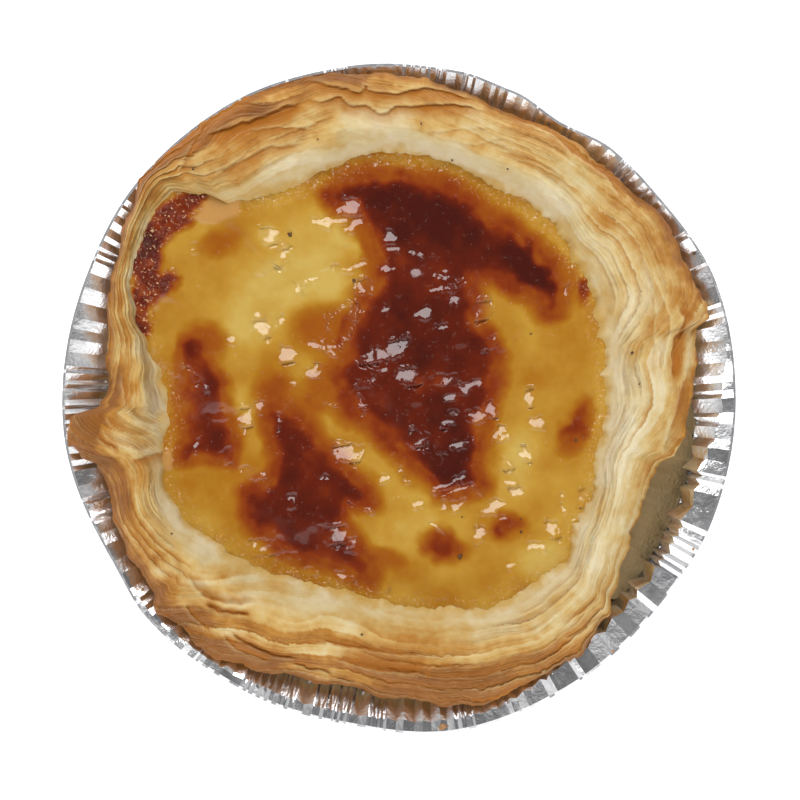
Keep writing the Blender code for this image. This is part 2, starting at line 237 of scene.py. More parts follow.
# Outlines of the scorched places, read off the photo: how dark, how soft the edge is in mm, how brown
# and how wide the halo round them is, and the line. The last is the tongue over the rim.
SCORCHED = [
    (0.80, 1.9, 0.54, 4.2, [
        (327, 192), (342, 180), (373, 172), (407, 177), (433, 183), (459, 191), (479, 204), (494, 219),
        (516, 230), (537, 247), (555, 265), (565, 287), (560, 309), (547, 314), (540, 301), (531, 294),
        (512, 285), (495, 279), (470, 284), (477, 304), (476, 321), (487, 332), (496, 355), (497, 376),
        (490, 400), (483, 426), (483, 452), (481, 478), (477, 492), (461, 495), (442, 491), (426, 478),
        (411, 461), (395, 451), (386, 436), (368, 423), (352, 414), (346, 399), (338, 382), (330, 374),
        (340, 362), (348, 352), (353, 329), (365, 300), (376, 281), (380, 260), (377, 243), (362, 223),
        (356, 210), (338, 205),
    ]),
    (0.78, 1.8, 0.52, 3.6, [
        (274, 405), (284, 409), (298, 412), (312, 423), (322, 440), (332, 450), (341, 464), (357, 478),
        (372, 490), (377, 502), (348, 505), (345, 521), (353, 538), (363, 552), (376, 562), (372, 581),
        (357, 581), (339, 569), (315, 564), (298, 559), (283, 550), (270, 535), (250, 529), (241, 512),
        (243, 491), (257, 486), (270, 478), (277, 464), (274, 443), (269, 429), (267, 416),
    ]),
    (0.78, 1.8, 0.48, 2.4, [
        (183, 338), (195, 335), (207, 347), (215, 362), (224, 381), (228, 397), (233, 414), (236, 436),
        (239, 460), (236, 467), (219, 464), (202, 459), (184, 464), (174, 459), (172, 447), (184, 429),
        (184, 409), (179, 392), (183, 374), (179, 362),
    ]),
    (0.74, 0.6, 0.46, 1.2, [
        (213, 187), (197, 189), (179, 200), (165, 208), (153, 216), (141, 234), (136, 250), (129, 268),
        (131, 285), (132, 308), (136, 331), (144, 342), (149, 336), (154, 319), (156, 300), (167, 289),
        (178, 276), (174, 269), (158, 273), (160, 250), (168, 239), (180, 230), (190, 221), (196, 216),
        (205, 202),
    ]),
]
BURNT_TONGUE = SCORCHED[-1][-1]
# Softer browned spots: (column, row, half length, half width, angle) and how dark
BROWNED = [
    ((340, 331, 30, 14, 66), 0.55), ((576, 428, 42, 18, 74), 0.62), ((442, 545, 34, 22, -20), 0.56),
    ((506, 530, 28, 20, 20), 0.56), ((318, 330, 40, 46, 60), 0.42), ((366, 246, 16, 34, 10), 0.46),
    ((219, 242, 34, 20, 25), 0.40), ((586, 290, 18, 10, 80), 0.60), ((160, 458, 24, 12, 5), 0.42),
    ((274, 390, 30, 26, 60), 0.46), ((318, 395, 40, 30, 0), 0.44), ((388, 562, 26, 16, -20), 0.42),
    ((190, 400, 34, 70, 0), 0.42), ((565, 275, 40, 18, -60), 0.40), ((350, 330, 60, 40, 60), 0.30),
    ((205, 345, 34, 30, 0), 0.46), ((505, 350, 30, 90, 0), 0.24), ((250, 470, 22, 60, 80), 0.30),
]
# Where a scorched place is darker still, and where the custard is paler than round about
DEEPEST = [
    ((420, 215, 90, 36, -18), 0.24), ((530, 262, 46, 26, -40), 0.32), ((153, 238, 40, 16, 68), 0.12),
    ((310, 505, 60, 34, -40), 0.06), ((420, 330, 60, 60, 0), 0.10), ((448, 450, 60, 44, -70), 0.14),
]
PALE = [
    ((540, 560, 34, 26, 20), 0.16), ((322, 240, 70, 46, 10), 0.16), ((270, 300, 60, 60, 50), 0.15),
    ((242, 345, 32, 40, 0), 0.12), ((519, 320, 30, 60, 0), 0.12), ((405, 535, 50, 34, 0), 0.10),
    ((510, 470, 34, 60, 0), 0.10), ((269, 236, 16, 20, 0), 0.12), ((325, 290, 50, 24, 20), 0.18),
]
# Facets of the wrinkled skin that catch the lamp: (column, row, half length, half width, angle)
GLINTS = [
    (350, 207, 11, 8, 0), (353, 226, 12, 5, 60), (269, 236, 12, 9, -60), (329, 221, 18, 6, -5),
    (346, 249, 14, 3, 8), (282, 257, 17, 4, 62), (262, 267, 10, 3, 35), (298, 288, 5, 6, 0),
    (320, 276, 22, 3, 27), (352, 267, 22, 3, 12), (362, 288, 10, 9, 0), (357, 312, 7, 9, -60),
    (329, 347, 9, 4, 20), (262, 329, 13, 6, -65), (278, 324, 8, 3, 65), (231, 338, 6, 5, 0),
    (315, 372, 9, 6, 20), (295, 382, 6, 3, 0), (386, 351, 27, 7, 25), (408, 377, 14, 9, -15),
    (384, 370, 8, 4, 20), (366, 382, 10, 4, 30), (388, 269, 8, 6, -30), (391, 250, 7, 4, 15),
    (392, 238, 7, 6, 0), (415, 254, 10, 3, -30), (384, 310, 3, 4, 0), (155, 242, 4, 6, 60),
    (165, 224, 4, 6, -70), (196, 248, 6, 5, 0), (176, 386, 6, 7, -60), (191, 374, 16, 2, -58),
    (200, 384, 16, 2, -60), (387, 164, 24, 4, 8), (509, 192, 9, 4, 0), (528, 197, 6, 3, 0),
    (568, 293, 3, 7, 0), (483, 310, 16, 7, 70), (490, 342, 8, 4, 60), (450, 286, 14, 3, 5),
    (448, 278, 16, 2, -18), (433, 290, 7, 3, 10), (453, 300, 5, 5, 0), (424, 312, 8, 6, 30),
    (444, 329, 7, 3, 0), (442, 379, 14, 5, 4), (469, 386, 13, 5, 10), (361, 404, 10, 4, -75),
    (449, 398, 6, 5, 20), (451, 418, 12, 5, 55), (478, 416, 10, 9, 40), (492, 409, 9, 5, -55),
    (500, 434, 7, 8, 0), (418, 438, 9, 10, -60), (425, 448, 5, 4, 0), (462, 443, 13, 5, 5),
    (440, 450, 5, 3, -40), (349, 453, 17, 10, -15), (385, 478, 6, 3, 0), (407, 480, 4, 2, 0),
    (399, 473, 4, 3, 0), (446, 484, 19, 4, 32), (455, 492, 18, 3, 25), (476, 489, 8, 2, -35),
    (418, 502, 7, 4, 20), (445, 507, 6, 5, -50), (459, 505, 5, 6, 0), (512, 478, 20, 7, -70),
    (494, 507, 13, 5, 25), (480, 535, 6, 10, 0), (500, 521, 8, 2, 12), (525, 454, 10, 4, -65),
    (530, 398, 5, 9, 0), (537, 423, 7, 8, 0), (552, 529, 13, 7, -60), (537, 548, 10, 5, 0),
    (564, 498, 3, 6, 0), (562, 510, 3, 3, 0), (583, 498, 4, 9, 0), (516, 564, 10, 3, 8),
    (404, 594, 4, 4, 0), (392, 597, 2, 7, 0), (434, 525, 10, 2, -35), (245, 417, 7, 15, 0),
    (260, 407, 6, 5, -40), (282, 420, 2, 11, 0), (253, 473, 12, 6, -25), (263, 483, 10, 2, -30),
    (226, 455, 5, 9, -5), (196, 445, 7, 3, 60), (219, 416, 9, 5, -10), (336, 402, 7, 2, 15),
    (331, 480, 10, 2, -3), (292, 503, 6, 6, 0), (362, 507, 14, 2, -15), (336, 535, 12, 12, 30),
    (322, 520, 6, 2, 10), (351, 545, 5, 6, 0), (264, 547, 18, 8, 5), (291, 557, 6, 3, -20),
    (310, 572, 13, 4, 12), (345, 576, 12, 4, -12), (286, 354, 8, 8, 0), (315, 345, 6, 5, 0),
]
# Dark specks: column, row, size in mm
SPECKS = [
    (290, 234, 0.28), (354, 281, 0.2), (531, 334, 0.12), (462, 517, 0.12), (460, 556, 0.3),
    (576, 440, 0.16), (521, 532, 0.14), (521, 519, 0.1), (631, 353, 0.18), (638, 384, 0.14),
    (318, 141, 0.12), (452, 161, 0.12), (507, 170, 0.12), (173, 533, 0.14), (362, 633, 0.14),
    (194, 170, 0.14), (421, 125, 0.12), (695, 253, 0.16), (549, 123, 0.2),
]
# Crumbs that have dropped on the case: column, row, size in mm
CRUMBS = [
    (443, 727, 0.50), (613, 652, 0.22), (694, 549, 0.26), (369, 69, 0.30), (424, 723, 0.18),
    (142, 590, 0.2), (99, 505, 0.16),
]
# The lamp that the custard's facets face: its direction in plan and the facets' tilt
LAMP_AZIMUTH = 100
GLINT_SLOPE = 0.32
# A facet starts again lower after this many mm, so that it stays as low as a wrinkle
GLINT_PERIOD = 2.2
# The wrinkled skin eats into the facets' outlines, so they are drawn this much larger
GLINT_GROWTH = 1.15
# Scraps of leaf baked into the custard's surface, read off the photo: outlines
SCRAPS = [
    [(214, 188), (236, 185), (242, 198), (238, 215), (222, 222), (203, 224), (194, 217), (206, 203)],
    [(163, 452), (171, 450), (172, 468), (160, 473), (150, 468)],
]
# The burst bubble's brown skin, whose edge stands up
FILM = (340, 331, 30, 13, 66)
# The floor is a light table, so the tart stands on white with next to no shadow
FLOOR_GLOW = 0.6
# The floor's width, and how far it is under the case, in metres
FLOOR_SIZE = 40
FLOOR_CLEARANCE = 0.0001
# Brightness of the panels round the tart, by the share of a turn from -X
PANELS = [
    (0.0, 0.66), (0.10, 0.82), (0.13, 1.35), (0.30, 1.30), (0.35, 0.20), (0.53, 0.18), (0.555, 1.15),
    (0.66, 0.80), (0.74, 0.60), (0.77, 0.22), (0.85, 0.22), (0.87, 0.64), (0.94, 0.60),
]


def around(points, degrees):
    """The values at angles, read from (angle, value) pairs that go once round the tart."""
    degrees = np.asarray(degrees, float) % 360
    angles = np.array([angle for angle, _ in points] + [points[0][0] + 360], float)
    values = np.array([value for _, value in points] + [points[0][1]], float)
    place = np.clip(np.searchsorted(angles, degrees, side="right") - 1, 0, len(points) - 1)
    share = (degrees - angles[place]) / (angles[place + 1] - angles[place])
    return values[place] + (values[place + 1] - values[place]) * share * share * (3 - 2 * share)


def step(low, high, value):
    """Rises smoothly from 0 at low to 1 at high."""
    share = np.clip((value - low) / (high - low), 0, 1)
    return share * share * (3 - 2 * share)


def between(value, start, full, fading, end):
    """1 from full to fading, and smoothly down to 0 at the start and the end."""
    return step(start, full, value) * step(end, fading, value)


def draw(column, row, seed):
    """A random number from 0 to 1 for each whole place, the same on each run."""
    mixed = (
        np.asarray(column, np.int64) * 374761393
        + np.asarray(row, np.int64) * 668265263
        + seed * 974634777
    ) & 0xFFFFFFFF
    mixed = ((mixed ^ (mixed >> 13)) * 1274126177) & 0xFFFFFFFF
    return ((mixed ^ (mixed >> 16)) & 0xFFFFFF) / 0x1000000


def noise(x, y, size, seed):
    """Smooth random values from -1 to 1, with hills about size mm apart."""
    x, y = x / size, y / size
    column, row = np.floor(x).astype(np.int64), np.floor(y).astype(np.int64)
    across, up = x - column, y - row
    across = across * across * across * (across * (across * 6 - 15) + 10)
    up = up * up * up * (up * (up * 6 - 15) + 10)
    low = draw(column, row, seed) * (1 - across) + draw(column + 1, row, seed) * across
    high = draw(column, row + 1, seed) * (1 - across) + draw(column + 1, row + 1, seed) * across
    return 2 * (low * (1 - up) + high * up) - 1


def rough(x, y, size, seed, octaves=4):
    """Noise with finer noise on it, each octave half as wide and half as high as the one before."""
    total = 0
    for octave in range(octaves):
        total = total + noise(x, y, size / 2**octave, seed + octave) / 2**octave
    return total


def plan(radius, turn):
    """The x and y of places at a radius and an angle."""
    return radius * np.cos(np.radians(turn)), radius * np.sin(np.radians(turn))


def drift(turn, size, row, seed):
    """Noise that closes on itself round the tart, with hills about size degrees apart.

    The row picks one course out of many.
    """
    x, y = plan(360 / size / (2 * math.pi), turn)
    return noise(x + row * 7.3, y + row * 3.7, 1, seed)


def at(column, row):
    """Millimetres from the tart's axis of a place in the photo."""
    return (column - PHOTO_AXIS[0]) * PIXEL, (PHOTO_AXIS[1] - row) * PIXEL


def to_stretch(start, end, x, y):
    """Distance to a straight stretch, and where along it the nearest place is, from 0 to 1."""
    (start_x, start_y), (run_x, run_y) = start, end - start
    along = ((x - start_x) * run_x + (y - start_y) * run_y) / (run_x**2 + run_y**2)
    along = np.clip(along, 0, 1)
    return np.hypot(x - start_x - along * run_x, y - start_y - along * run_y), along


def inside(points, x, y):
    """Distance in mm to an outline read off the photo: above zero inside it, below zero outside."""
    corners = np.array([at(*point) for point in points])
    nearest = np.full(x.shape, np.inf)
    within = np.zeros(x.shape, bool)
    for start, end in zip(corners, np.roll(corners, -1, axis=0)):
        nearest = np.minimum(nearest, to_stretch(start, end, x, y)[0])
        with np.errstate(divide="ignore", invalid="ignore"):
            crossing = (end[0] - start[0]) * (y - start[1]) / (end[1] - start[1]) + start[0]
        within ^= ((start[1] > y) != (end[1] > y)) & (x < crossing)
    return np.where(within, nearest, -nearest)


def beside(points, x, y):
    """Distance in mm to a line read off the photo, above zero on its left, and how far along it, 0 to 1."""
    corners = np.array([at(*point) for point in points])
    lengths = np.hypot(*np.diff(corners, axis=0).T)
    starts = np.concatenate([[0], np.cumsum(lengths)])
    nearest, signed, share = np.full(x.shape, np.inf), np.zeros(x.shape), np.zeros(x.shape)
    for start, end, before, length in zip(corners, corners[1:], starts, lengths):
        away, along = to_stretch(start, end, x, y)
        side = np.sign((end[0] - start[0]) * (y - start[1]) - (end[1] - start[1]) * (x - start[0]))
        closer = away < nearest
        nearest = np.where(closer, away, nearest)
        signed = np.where(closer, away * side, signed)
        share = np.where(closer, (before + along * length) / starts[-1], share)
    return signed, share


def curve(points):
    """A line read off the photo, rounded between its points."""
    spread = np.array([points[0]] + list(points) + [points[-1]], float)
    before, start, end, after = spread[:-3], spread[1:-2], spread[2:-1], spread[3:]
    rounded = [
        start + 0.5 * share * (end - before + share * (2 * before - 5 * start + 4 * end - after
                                                       + share * (3 * (start - end) + after - before)))
        for share in (0.0, 0.25, 0.5, 0.75)
    ]
    return list(np.stack(rounded, axis=1).reshape(-1, 2)) + [spread[-1]]


def patch(spot, x, y):
    """How far inside an ellipse places are: 1 in its middle, 0 at its edge and beyond.

    The spot is column, row, half length, half width in pixels, and the angle of its length.
    """
    column, row, half_length, half_width, angle = spot
    cx, cy = at(column, row)
    turn = math.radians(angle)
    along = ((x - cx) * math.cos(turn) + (y - cy) * math.sin(turn)) / (half_length * PIXEL)
    across = (-(x - cx) * math.sin(turn) + (y - cy) * math.cos(turn)) / (half_width * PIXEL)
    return np.clip(1 - np.hypot(along, across), 0, 1)


def foil_wall_radius(height):
    (low_radius, low), (high_radius, high) = FOIL_CORNER, FOIL_WALL_TOP
    return low_radius + (high_radius - low_radius) * (height - low) / (high - low)


def foil_flange_height(radius, degrees):
    inner, low = FOIL_WALL_TOP
    rim = around(FOIL_RIM_RADIUS, degrees)
    return low + (FOIL_RIM_HEIGHT - low) * (radius - inner) / (rim - inner)


def edge_height(degrees):
    edge = around(PASTRY_EDGE_RADIUS, degrees)
    return np.maximum(EDGE_HEIGHT_LEAST, foil_flange_height(edge, degrees) + EDGE_CLEARANCE)


def rim_height(share, degrees):
    """Height of the rim's smooth form, from the custard (share 0) to the outer edge (share 1)."""
    lip = around(LIP_HEIGHT, degrees)
    crest = around(CREST_HEIGHT, degrees)
    edge = edge_height(degrees)
    climb = lip + (crest - lip) * np.sin(math.pi / 2 * np.clip(share / CREST_SHARE, 0, 1))
    fall = np.clip((share - CREST_SHARE) / (1 - CREST_SHARE), 0, 1)
    return np.where(share < CREST_SHARE, climb, edge + (crest - edge) * np.cos(math.pi / 2 * fall**1.3))


def in_scene(name, data):
    piece = bpy.data.objects.new(name, data)
    bpy.context.scene.collection.objects.link(piece)
    return piece


def mesh_of(name, rings, values, closed_ends=(None, None)):
    """Joins rings of places in mm into a mesh. A closed end is a height on the axis."""
    grid = np.stack(rings)
    count, columns = grid.shape[:2]
    places = grid.reshape(-1, 3)
    index = np.arange(count * columns).reshape(count, columns)
    onward = np.roll(index, -1, axis=1)
    quads = np.stack([index[:-1], onward[:-1], onward[1:], index[1:]], axis=-1).reshape(-1, 4)
    faces = [tuple(quad) for quad in quads.tolist()]
    for end, row, turned in ((closed_ends[0], 0, True), (closed_ends[1], -1, False)):
        if end is not None:
            pole = len(places)
            places = np.vstack([places, [[0, 0, end]]])
            pairs = zip(index[row].tolist(), onward[row].tolist())
            faces += [(pole, after, here) if turned else (pole, here, after) for here, after in pairs]
            values = {key: np.append(value, value[index[row]].mean()) for key, value in values.items()}
    mesh = bpy.data.meshes.new(name)
    mesh.from_pydata((places * MM).tolist(), [], faces)
    for key, value in values.items():
        mesh.attributes.new(key, "FLOAT", "POINT").data.foreach_set("value", value.astype(np.float32))
    mesh.shade_smooth()
    mesh.validate()
    return in_scene(name, mesh)


def ring(radius, height, degrees):
    """Places round the axis at a radius and a height."""
    x, y = plan(radius, degrees)
    return np.stack([x, y, np.broadcast_to(height, degrees.shape)], axis=-1)


def pastry_piece():
    degrees = np.arange(PASTRY_COLUMNS) * 360 / PASTRY_COLUMNS
    inner, torn = custard_edge(degrees)
    even_inner, even_outer = around(CUSTARD_EDGE_RADIUS, degrees), around(PASTRY_EDGE_RADIUS, degrees)
    across, up = plan(1, degrees)
    waver = 0.26 * rough(across * 14, up * 14, 1, 301, 5) + 0.10 * rough(across * 70, up * 70, 1, 311, 2)
    outer = even_outer + waver

    share = np.linspace(0, 1, RIM_RINGS)[:, None] * np.ones_like(degrees)
    turn = np.broadcast_to(degrees, share.shape)
    radius = even_inner + (even_outer - even_inner) * share
    radius = radius + (inner - even_inner - torn) * step(0.12, 0.0, share) + waver * step(0.84, 1.0, share)
    x, y = plan(radius, turn)
    lift, crevice_browning_and_shade, bake, pale, leaf, leafy = rim_relief(share, turn, x, y)
    height = rim_height(share, turn) + lift

    # The custard hides the shell's floor, and the rim hides the way down the case's wall. Where the shell
    # drew away from the case, the side reaches out over the flange once more.
    floor = [
        (CAVITY_FLOOR_RADIUS, CAVITY_FLOOR),
        (np.minimum(inner - 1.2, CAVITY_SHOULDER_MOST), CAVITY_SHOULDER_HEIGHT),
    ]
    wall_top, foot = pastry_wall_radius(FOIL_WALL_TOP[1]), pastry_wall_radius(PASTRY_FOOT_HEIGHT)
    tuck = np.minimum(outer - 0.7, wall_top + 1.2)
    side = [
        (outer - 0.15, height[-1] - 0.35),
        (outer - 0.5, np.minimum(height[-1] - 0.8, edge_height(degrees) - 0.6)),
        (tuck, np.maximum(foil_flange_height(tuck, degrees) + 1.1, 20.0)),
        (wall_top + 1.9 * step(35.0, 34.0, outer), FOIL_WALL_TOP[1] + 0.45),
        (wall_top, FOIL_WALL_TOP[1] - 0.1),
        (foot, PASTRY_FOOT_HEIGHT),
        (foot - 1.0, PASTRY_UNDERSIDE),
    ]
    rings = [ring(wide, high, degrees) for wide, high in floor + list(zip(radius, height)) + side]

    # The first two rings of the side still take the values of the rim's edge
    glaze = step(0.13, 0.0, share + 0.05 * rough(x, y, 1.6, 171))
    values = {}
    for key, value, on_floor, on_side in (
        ("crevice_browning_and_shade", crevice_browning_and_shade, 0, 0), ("bake", bake, 0.1, 0.22), ("pale", pale, 0, 0), ("glaze", glaze, 1, 0),
        ("leafy", leafy, 0, 0.6), ("shade", np.zeros_like(share), 0, 1),
    ):
        rows = [np.full_like(degrees, on_floor)] * len(floor) + list(value) + [value[-1]] * 2
        values[key] = np.concatenate(rows + [np.full_like(degrees, on_side)] * (len(side) - 2))
    below = [leaf[-1] + more for more in (0.3, 0.8, 1.6, 1.6, 1.6, 1.6, 1.6)]
    values["leaf"] = np.concatenate([leaf[0]] * len(floor) + list(leaf) + below)
    return mesh_of("pastry", rings, values, (CAVITY_FLOOR, PASTRY_UNDERSIDE))


def pastry_wall_radius(height):
    """The shell's outer side, inside the case's flutes, which deepen with the height."""
    flutes = 0.28 + 0.5 * height / FOIL_WALL_TOP[1]
    return foil_wall_radius(height) - flutes - 0.1 - GAP


def rim_relief(share, turn, x, y):
    """The rim's relief in mm, and each place's crevice browning with painted shade, bake, pale lip as
    painted highlight, leaf number and leafiness.
    """
    warp = 0.85 * noise(x, y, 7, 11) + 0.06 * noise(x, y, 2.4, 12)
    leaf = LAYERS * share**0.92 + around(LAYER_SPIRAL, turn) + warp
    past_sheet = step(0, 0.12, share - around(SMOOTH_SHEET, turn))
    leafy = (0.10 + 0.90 * past_sheet) * step(0.0, 1.6, np.minimum(turn, 360 - turn))
    stepped = past_sheet
    for spot in PASTRY_TRACED:
        stepped = stepped * (1 - step(0, 0.35, patch(spot, x, y)))
    lift, crevice_browning_and_shade, pale, tint = leaf_steps(leaf, turn, x, y, stepped)
    lift, crevice_browning_and_shade, pale = cut_ledges(x, y, lift, crevice_browning_and_shade, pale)

    lift = lift + 0.30 * rough(x, y, 5, 51, 3) + 0.07 * rough(x, y, 0.7, 55, 3)
    lumps = between(turn, *LUMPY) * step(0.35, 0.6, share)
    lump = noise(x, y, 1.7, 57)
    lift = lift + lumps * (0.45 * lump + 0.12 * noise(x, y, 0.5, 58))
    lift = lift * ((0.45 + 0.55 * step(0, 0.05, share)) * (0.35 + 0.65 * step(1, 0.95, share)))

    baked_inside, baked_outside = around(BAKE_INSIDE, turn), around(BAKE_OUTSIDE, turn)
    bake = -0.20 * lumps * lump + baked_inside + (baked_outside - baked_inside) * share
    bake = bake + 0.22 * step(0.92, 1.0, share) + tint * (0.4 + share) + 0.12 * rough(x, y, 3, 61, 3)
    bake = bake + 0.05 * rough(x, y, 0.6, 65, 2) * (0.3 + share)
    for spot, more in PASTRY_BROWNED:
        bake = bake + more * step(0, 0.6, patch(spot, x, y))
    return lift, np.clip(crevice_browning_and_shade, 0, 1.4), np.clip(bake, *BAKE_RANGE), np.clip(pale, 0, 1), leaf, leafy


def leaf_steps(leaf, turn, x, y, stepped):
    """Steps of the stacked leaves, coarse to fine: lift in mm, crevices browned with painted shade, pale
    lips as painted highlights and each leaf's tint.
    """
    ragged = 0.09 * noise(x, y, 0.8, 13) + 0.07 * noise(x, y, 0.3, 14)
    lift, crevice_browning_and_shade, pale, tint = (np.zeros_like(x) for _ in range(4))
    for fineness, depth_share, keep in ((1, 0.9, 0.25), (3, 0.27, 0.5), (7, 0.14, 0.5)):
        count = fineness * leaf + ragged * (1 + fineness) / 2
        count = count + 0.16 * (fineness - 1) * noise(x / 5.3, y / 4.3, 1, 15 + fineness)
        layer = np.floor(count)
        within = count - layer
        which = np.mod(layer, fineness * LAYERS_PER_TURN)
        vary = np.clip(keep + 1.1 * drift(turn, 17, which, 20 + fineness), 0.02, 1.15)
        depth = around(LAYER_DEPTH, turn) * depth_share * vary * (0.12 + 0.88 * stepped)
        start = 0.15 + 0.5 * draw(which, 1, 30 + fineness)
        lift = lift + depth * ((1 - within) ** 1.1 - 0.45)
        # Towards the end of each leaf, crevice browning with painted shade
        crevice_browning_and_shade = np.maximum(crevice_browning_and_shade, 2.1 * depth * np.clip((within - start) / (1 - start), 0, 1) ** 1.2)
        # At the start of each leaf a pale lip, a painted highlight
        pale = np.maximum(pale, 2.6 * depth * np.exp(-within / 0.12))
        tint = tint + depth_share * 0.24 * drift(turn, 21, which, 40 + fineness)
    return lift, crevice_browning_and_shade, pale, tint


def cut_ledges(x, y, lift, crevice_browning_and_shade, pale):
    """Cuts the single leaf edges of LEDGES into the relief, a little jagged."""
    jagged_x = x + (0.12 * noise(x, y, 0.9, 41) + 0.07 * noise(x, y, 0.35, 43))
    jagged_y = y + (0.12 * noise(x, y, 0.9, 42) + 0.07 * noise(x, y, 0.35, 44))
    for low, drop, fade, brown, line in LEDGES:
        distance, along = beside(curve(line), jagged_x, jagged_y)
        if low == "out":
            distance = -distance
        away = np.abs(distance)
        near = between(along, 0, 0.16, 0.84, 1)
        across = step(-0.12, 0.10, distance)
        low_side = across * np.exp(-((away / (1.15 * fade)) ** 2)) * near
        high_side = (1 - across) * np.exp(-away / 0.45) * near
        lift = lift - 0.65 * drop * low_side + 0.2 * drop * high_side
        # On the low side, a band of crevice browning with painted shade
        band = across * np.exp(-((away / (1.5 * fade)) ** 2)) * near
        crevice_browning_and_shade = np.maximum(crevice_browning_and_shade * (1 - 0.8 * high_side), 1.5 * brown * band)
        # Along the high side, a pale lip painted as a highlight
        pale = np.maximum(pale * (1 - low_side), (1 - across) * np.exp(-away / 0.25) * near)
    return lift, crevice_browning_and_shade, pale


def custard_edge(degrees):
    """Where the rim meets the custard: its wavering line, and how far the torn leaves reach beyond it."""
    across, up = plan(1, degrees)
    torn = np.abs(noise(across * 22, up * 22, 1, 76)) + 0.5 * np.abs(noise(across * 48, up * 48, 1, 77))
    edge = around(CUSTARD_EDGE_RADIUS, degrees) + 0.30 * rough(across * 9, up * 9, 1, 71, 5)
    return edge, around(TORN_EDGE, degrees) * (torn - 0.45)


def custard_height(x, y, turn, share):
    """Height of the custard's smooth form, from the axis (share 0) to the rim (share 1)."""
    lip = around(LIP_HEIGHT, turn)
    middle = around(LIP_HEIGHT, 0)
    height = middle + (lip - middle) * share**3 + CUSTARD_DOME * (1 - share**2) + CUSTARD_LIP
    for at_x, at_y, radius, rise in BLISTERS:
        nearness = ((x - at_x) ** 2 + (y - at_y) ** 2) / radius**2
        height = height + rise * np.exp(-2 * nearness) * (1 - share**6)
    return height


def skin_relief(x, y, share, froth):
    """Relief of the skin in mm: facets that face the lamp, the burst bubble's edge, froth and waves."""
    facing_x, facing_y = plan(1, LAMP_AZIMUTH)
    skin_x = x + 0.42 * noise(x, y, 1.1, 81) + 0.22 * noise(x, y, 0.45, 82)
    skin_y = y + 0.42 * noise(x, y, 1.1, 83) + 0.22 * noise(x, y, 0.45, 84)
    facets = np.zeros_like(x)
    for column, row, half_length, half_width, angle in GLINTS:
        middle_x, middle_y = at(column, row)
        grown = (column, row, half_length * GLINT_GROWTH, half_width * GLINT_GROWTH, angle)
        ahead = (x - middle_x) * facing_x + (y - middle_y) * facing_y
        ahead = np.mod(ahead + GLINT_PERIOD / 2, GLINT_PERIOD) - GLINT_PERIOD / 2
        facets = facets - GLINT_SLOPE * ahead * step(0, 0.16, patch(grown, skin_x, skin_y))
    film = patch(FILM, skin_x, skin_y)
    film_edge = 0.3 * np.exp(-((film / 0.2) ** 2)) * step(0, 0.06, film)
    bubbles = np.clip(noise(x, y, 0.5, 181) + 0.4 * noise(x, y, 1.3, 182), 0, 1)
    foam = (0.28 * bubbles + 0.14 * rough(x, y, 1.8, 183, 3)) * froth
    waves = 0.10 * rough(x, y, 3.5, 91, 3) * step(1, 0.9, share)
    return facets * step(1, 0.97, share) + film_edge + foam + waves


def scorching(x, y, burnt):
    """How dark the custard is baked at each place, from 0 to 1."""
    scorch = 0.20 + 0.08 * rough(x, y, 5, 101)
    for spot, much in PALE:
        scorch = scorch - much * step(0, 0.7, patch(spot, x, y))
    warp_x, warp_y = x + 0.5 * rough(x, y, 2.6, 111, 3), y + 0.5 * rough(x, y, 2.6, 115, 3)
    for dark, soft, brown, wide, line in SCORCHED:
        depth = inside(line, warp_x, warp_y)
        halo = brown * step(-wide, 0.3, depth) ** 1.2
        scorch = np.maximum(scorch, np.maximum(halo, dark * step(-0.9 * soft, 1.1 * soft, depth)))
    for spot, dark in BROWNED:
        scorch = np.maximum(scorch, scorch + (dark - scorch) * step(0, 0.75, patch(spot, warp_x, warp_y)))
    scorch = scorch + 0.10 * rough(x, y, 2.2, 121) * step(0.36, 0.60, scorch)
    for spot, more in DEEPEST:
        scorch = scorch + more * step(0, 0.7, patch(spot, warp_x, warp_y)) * step(0.5, 0.75, scorch)
    return scorch - 0.22 * burnt * np.clip(rough(x, y, 0.9, 185, 3), -0.3, 1)


def custard_piece():
    degrees = np.arange(CUSTARD_COLUMNS) * 360 / CUSTARD_COLUMNS
    edge = custard_edge(degrees)[0] + 0.5
    share = (np.arange(1, CUSTARD_RINGS + 1) / CUSTARD_RINGS)[:, None] * np.ones_like(degrees)
    turn = np.broadcast_to(degrees, share.shape)
    radius = edge * share
    x, y = plan(radius, turn)
    burnt = step(-0.5, 0.5, inside(BURNT_TONGUE, x, y))
    froth = np.maximum(0.7 * step(0.90, 0.97, share), burnt)
    scrap = np.zeros_like(x)
    for line in SCRAPS:
        depth = inside(line, x + 0.12 * noise(x, y, 1, 187), y + 0.12 * noise(x, y, 1, 188))
        scrap = np.maximum(scrap, step(-0.2, 0.2, depth))
    height = custard_height(x, y, turn, share) + skin_relief(x, y, share, froth) + 0.20 * scrap
    skirt = [
        (edge - 0.1, around(LIP_HEIGHT, degrees) - 0.15),
        (np.minimum(edge - 0.8, CAVITY_SHOULDER_MOST - GAP - 0.2), CAVITY_SHOULDER_HEIGHT + 0.4),
        (CAVITY_FLOOR_RADIUS - 0.5, CAVITY_FLOOR + GAP),
    ]
    rings = [ring(wide, high, degrees) for wide, high in list(zip(radius, height)) + skirt]
    values = {
        key: np.vstack([value] + [value[-1:]] * len(skirt)).ravel()
        for key, value in (("scorch", scorching(x, y, burnt)), ("froth", froth), ("scrap", scrap))
    }
    return mesh_of("custard_filling", rings, values, (height[0].mean(), CAVITY_FLOOR + GAP))


